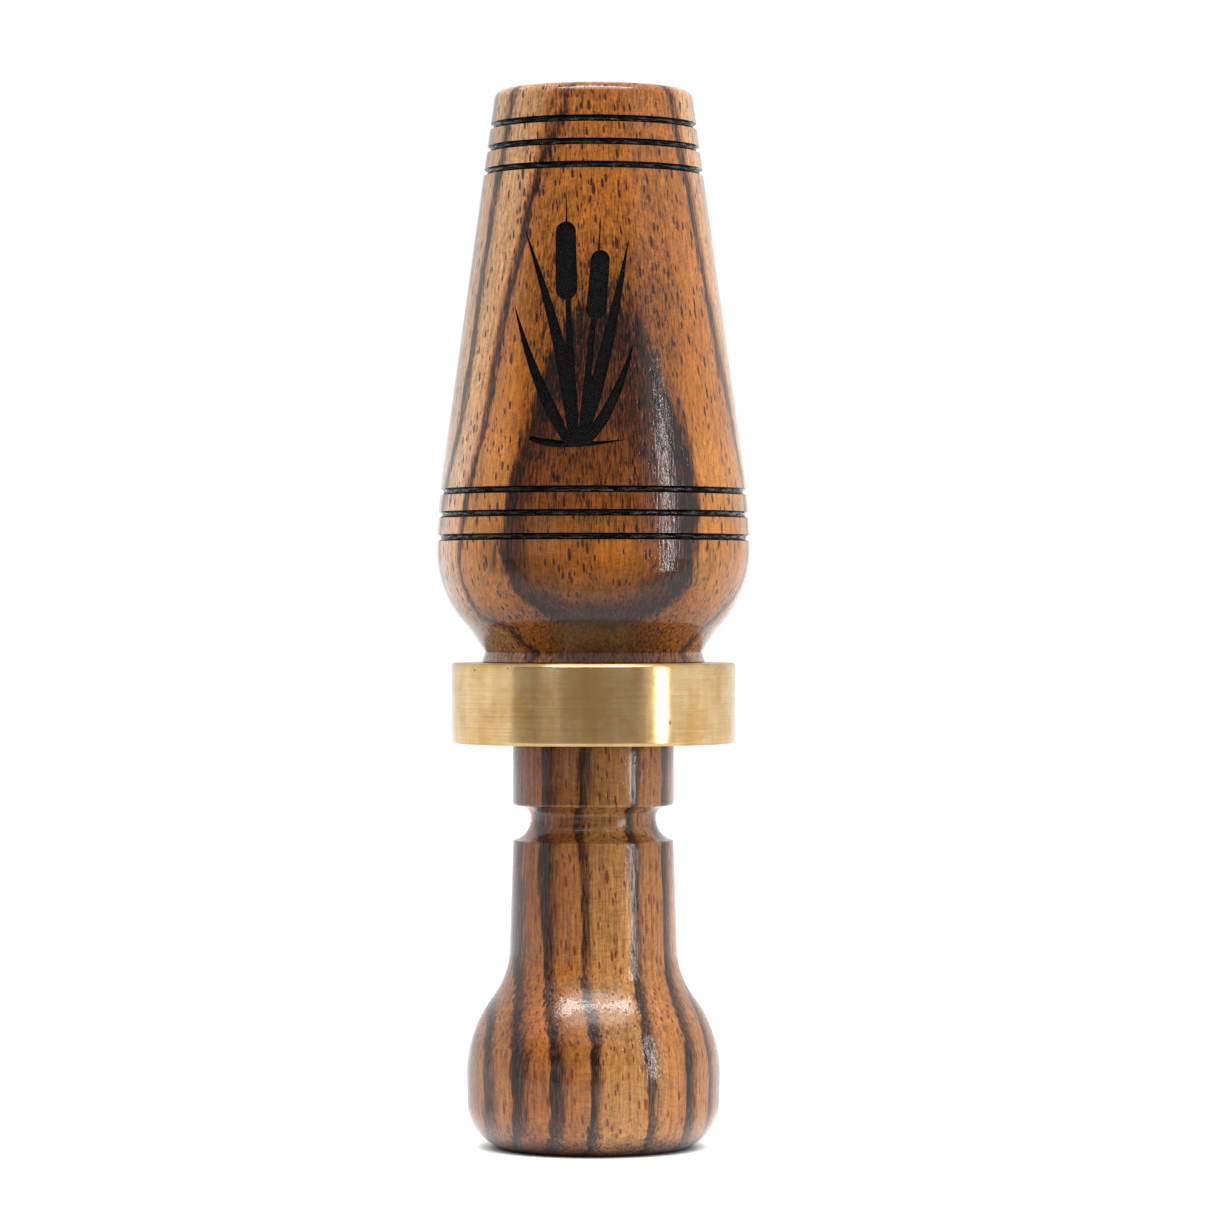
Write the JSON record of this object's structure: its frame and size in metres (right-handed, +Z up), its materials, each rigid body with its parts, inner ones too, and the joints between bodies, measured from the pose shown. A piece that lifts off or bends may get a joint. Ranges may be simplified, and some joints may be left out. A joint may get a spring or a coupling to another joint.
{
  "type": "duck call",
  "caption": "Turned wooden duck call: a grooved, tapered barrel with a brass band pulls off an insert that holds the tone board, reeds, cork wedge and seals.",
  "frame": {"origin": "centre of the exhaust end's flat face, on the surface that the call stands on", "axes": "+Z up along the turning axis, towards the mouth end; -Y is the side with the engraved motif, and the reeds lie on the tone board's -Y face"},
  "size_m": [0.0366, 0.0366, 0.1242],
  "materials": {
    "barrel_wood": "striped golden brown hardwood under clear gloss lacquer, with black burned lines",
    "insert_wood": "striped golden brown hardwood under clear gloss lacquer",
    "band_brass": "fine turned satin",
    "tone_board_acetal": "moulded ivory acetal, satin",
    "reed_film": "milky polyester film",
    "wedge_cork": "raw agglomerate cork",
    "seal_rubber": "black nitrile, satin"
  },
  "bodies": {
    "insert": {"insert_body": "insert_wood", "tone_board": "tone_board_acetal", "reed_wedge": "wedge_cork", "lower_reed_heel": "reed_film", "upper_reed_heel": "reed_film"},
    "lower_reed": {"lower_reed_blade": "reed_film"},
    "upper_reed": {"upper_reed_blade": "reed_film"},
    "seals": {"o_ring_lower": "seal_rubber", "o_ring_upper": "seal_rubber"},
    "barrel": {"barrel": "barrel_wood", "band": "band_brass"}
  },
  "joints": [
    {"name": "barrel_turn", "type": "hinge", "parent": "insert", "child": "seals", "pos_m": [0, 0, 0.0535], "axis": [0, 0, 1], "continuous": true},
    {"name": "barrel_pull", "type": "slide", "parent": "seals", "child": "barrel", "axis": [0, 0, 1], "range_m": [0, 0.064]},
    {"name": "lower_reed_flex", "type": "hinge", "parent": "insert", "child": "lower_reed", "pos_m": [0, -0.00137, 0.0715], "axis": [-1, 0, 0], "range_deg": [-1.5, 1.2], "stiffness_Nm_per_rad": 0.006},
    {"name": "upper_reed_flex", "type": "hinge", "parent": "insert", "child": "upper_reed", "pos_m": [0, -0.00168, 0.0715], "axis": [-1, 0, 0], "range_deg": [-1.5, 1.2], "stiffness_Nm_per_rad": 0.006}
  ],
  "couplings": [
    {"joint": "upper_reed_flex", "follows": "lower_reed_flex", "ratio": 1}
  ]
}
